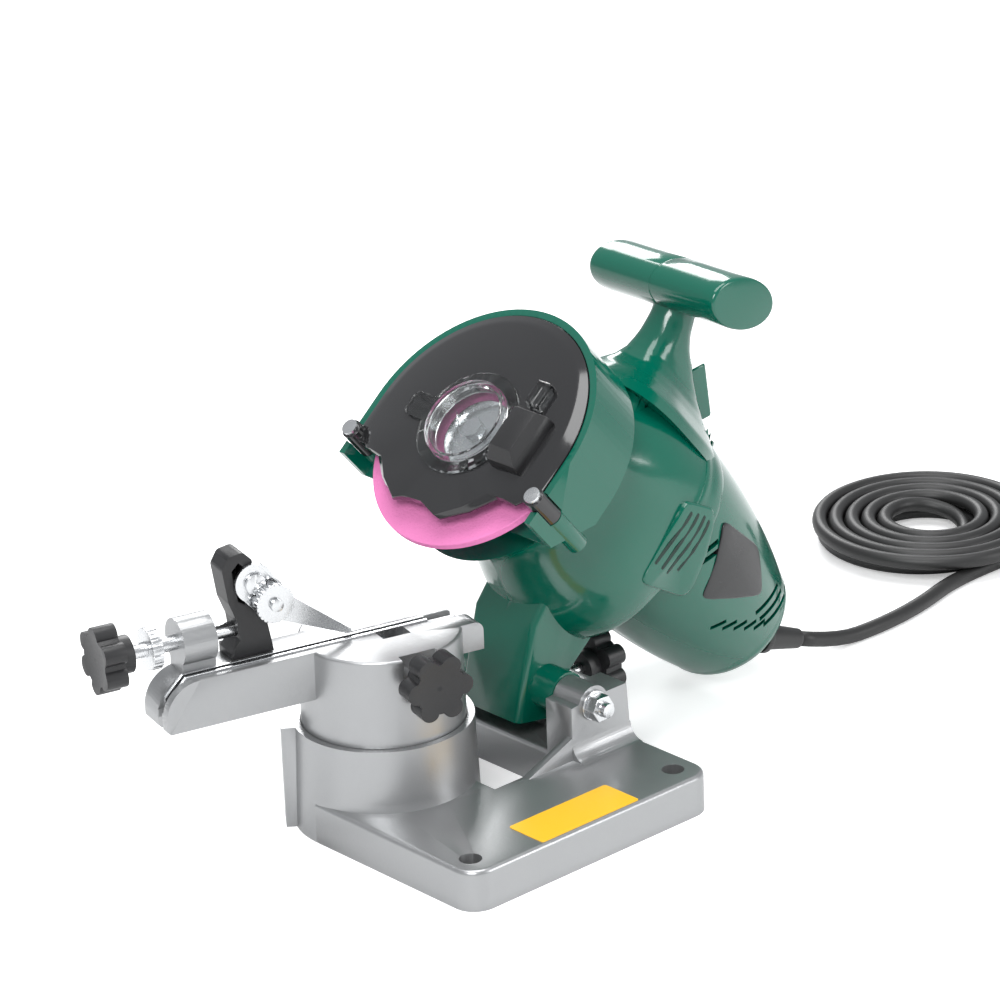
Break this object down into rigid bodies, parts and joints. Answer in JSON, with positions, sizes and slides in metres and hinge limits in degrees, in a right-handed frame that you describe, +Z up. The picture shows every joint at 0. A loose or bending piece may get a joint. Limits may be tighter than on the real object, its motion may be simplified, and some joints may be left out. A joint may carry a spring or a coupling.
{
  "type": "electric chainsaw sharpener",
  "caption": "Bench chain grinder: swing-down motor head with a thin grinding wheel over a turning vise that clamps a saw chain, on a cast base with bench bolts.",
  "frame": {"origin": "midway between the two bench bolt holes, on the base's underside, which lies on the bench", "axes": "+Z up, +X along the bench's edge from the vise towards the motor's tail, +Y from the bench's edge towards the pivot"},
  "size_m": [0.6193, 0.1753, 0.1903],
  "materials": {
    "cast_metal": "die-cast, silver paint, satin",
    "bright_steel": "zinc plated, bright",
    "black_plastic": "moulded, low sheen",
    "gloss_black": "moulded, high gloss",
    "green_plastic": "moulded, gloss",
    "clear_plastic": "clear moulded",
    "pink_abrasive": "bonded grit, rough",
    "machine_steel": "ground",
    "copper": "turned",
    "brush_carbon": "pressed carbon",
    "fan_plastic": "moulded",
    "cord_rubber": "satin sheath",
    "pin_metal": "plated"
  },
  "bodies": {
    "base_unit": {"base_casting": "cast_metal", "pivot_bolt": "bright_steel", "pivot_nut": "bright_steel", "pivot_washers": "bright_steel", "turret_lock_bolt": "bright_steel", "turret_lock_washer": "bright_steel", "cord_free": "cord_rubber", "cord_coil": "cord_rubber", "cord_tail": "cord_rubber", "plug": "cord_rubber", "plug_pins": "pin_metal"},
    "turret_unit": {"turret": "cast_metal", "far_guide_strip": "bright_steel"},
    "strip_unit": {"near_guide_strip": "bright_steel"},
    "clamp_unit": {"clamp_screw": "bright_steel", "clamp_knob": "black_plastic"},
    "carriage_unit": {"stop_carriage": "black_plastic", "stop_pivot_pin": "bright_steel"},
    "stop_screw_unit": {"stop_screw": "bright_steel", "stop_knob": "black_plastic"},
    "lock_nut_unit": {"stop_lock_nut": "bright_steel"},
    "flap_unit": {"stop_bracket": "bright_steel", "finger_stud": "bright_steel"},
    "finger_unit": {"stop_finger": "bright_steel"},
    "finger_nut_unit": {"finger_nut": "bright_steel"},
    "depth_screw_unit": {"depth_screw": "bright_steel"},
    "depth_knob_unit": {"depth_knob": "black_plastic"},
    "head_unit": {"housing_near": "green_plastic", "housing_far": "green_plastic", "housing_screws": "bright_steel", "wheel_cover": "gloss_black", "cover_screws": "bright_steel", "cover_window": "clear_plastic", "window_clip": "clear_plastic", "front_spindle_bearing": "machine_steel", "rear_spindle_bearing": "machine_steel", "front_motor_bearing": "machine_steel", "rear_motor_bearing": "machine_steel", "stator": "machine_steel", "carbon_brushes": "brush_carbon", "switch_body": "black_plastic", "strain_relief": "cord_rubber"},
    "latch_unit": {"cover_latch": "black_plastic"},
    "trigger_unit": {"trigger": "green_plastic"},
    "wheel_unit": {"grinding_wheel": "pink_abrasive", "outer_flange": "bright_steel", "inner_flange": "bright_steel", "wheel_bolt": "bright_steel", "spindle": "machine_steel", "spindle_gear": "machine_steel"},
    "rotor_unit": {"motor_pinion": "machine_steel", "motor_shaft": "machine_steel", "rotor_core": "machine_steel", "commutator": "copper", "cooling_fan": "fan_plastic"}
  },
  "joints": [
    {"name": "turret_turn", "type": "hinge", "parent": "base_unit", "child": "turret_unit", "pos_m": [-0.0265, 0.08, 0.05], "axis": [0, 0, 1], "range_deg": [-20.5, 49.5]},
    {"name": "strip_slide", "type": "slide", "parent": "turret_unit", "child": "strip_unit", "axis": [0.2504, 0.9681, 0], "range_m": [0, 0.0007]},
    {"name": "clamp_turn", "type": "hinge", "parent": "strip_unit", "child": "clamp_unit", "pos_m": [-0.03358, 0.04465, 0.0714], "axis": [0.2504, 0.9681, 0], "range_deg": [0, 252]},
    {"name": "carriage_slide", "type": "slide", "parent": "turret_unit", "child": "carriage_unit", "axis": [0.9681, -0.2504, 0], "range_m": [-0.006, 0.0075]},
    {"name": "stop_screw_turn", "type": "hinge", "parent": "carriage_unit", "child": "stop_screw_unit", "pos_m": [-0.12106, 0.11375, 0.0904], "axis": [0.9681, -0.2504, 0], "range_deg": [-2160, 2700]},
    {"name": "lock_nut_turn", "type": "hinge", "parent": "stop_screw_unit", "child": "lock_nut_unit", "pos_m": [-0.11428, 0.112, 0.0904], "axis": [0.9681, -0.2504, 0], "continuous": true},
    {"name": "flap_swing", "type": "hinge", "parent": "carriage_unit", "child": "flap_unit", "pos_m": [-0.07561, 0.0958, 0.1104], "axis": [0.2504, 0.9681, 0], "range_deg": [-100, 0]},
    {"name": "finger_swivel", "type": "hinge", "parent": "flap_unit", "child": "finger_unit", "pos_m": [-0.0703, 0.09236, 0.1022], "axis": [0.2504, 0.9681, 0], "range_deg": [-6, 0]},
    {"name": "finger_nut_turn", "type": "hinge", "parent": "flap_unit", "child": "finger_nut_unit", "pos_m": [-0.0713, 0.08849, 0.1022], "axis": [0.2504, 0.9681, 0], "continuous": true},
    {"name": "depth_slide", "type": "slide", "parent": "base_unit", "child": "depth_screw_unit", "axis": [1, 0, 0], "range_m": [0, 0.0015]},
    {"name": "depth_turn", "type": "hinge", "parent": "depth_screw_unit", "child": "depth_knob_unit", "pos_m": [0.085, 0.08, 0.0275], "axis": [1, 0, 0], "range_deg": [0, 540]},
    {"name": "head_swing", "type": "hinge", "parent": "base_unit", "child": "head_unit", "pos_m": [0.044, 0.08, 0.0376], "axis": [0, -1, 0], "range_deg": [0, 21.4]},
    {"name": "latch_pull", "type": "slide", "parent": "head_unit", "child": "latch_unit", "axis": [-0.6441, 0, 0.7649], "range_m": [0, 0.004], "stiffness_N_per_m": 400, "springref_m": -0.002},
    {"name": "trigger_press", "type": "slide", "parent": "head_unit", "child": "trigger_unit", "axis": [-0.9923, 0, -0.1236], "range_m": [0, 0.0025], "stiffness_N_per_m": 800, "springref_m": -0.002},
    {"name": "wheel_spin", "type": "hinge", "parent": "head_unit", "child": "wheel_unit", "pos_m": [0.0314, 0.08, 0.1426], "axis": [0.6441, 0, -0.7649], "continuous": true},
    {"name": "rotor_spin", "type": "hinge", "parent": "head_unit", "child": "rotor_unit", "pos_m": [0.05052, 0.08, 0.1587], "axis": [0.6441, 0, -0.7649], "continuous": true}
  ],
  "couplings": [
    {"joint": "clamp_turn", "follows": "strip_slide", "rad_per_m": 6283.2},
    {"joint": "stop_screw_turn", "follows": "carriage_slide", "rad_per_m": 6283.2},
    {"joint": "depth_turn", "follows": "depth_slide", "rad_per_m": 6283.2},
    {"joint": "rotor_spin", "follows": "wheel_spin", "ratio": -4}
  ]
}
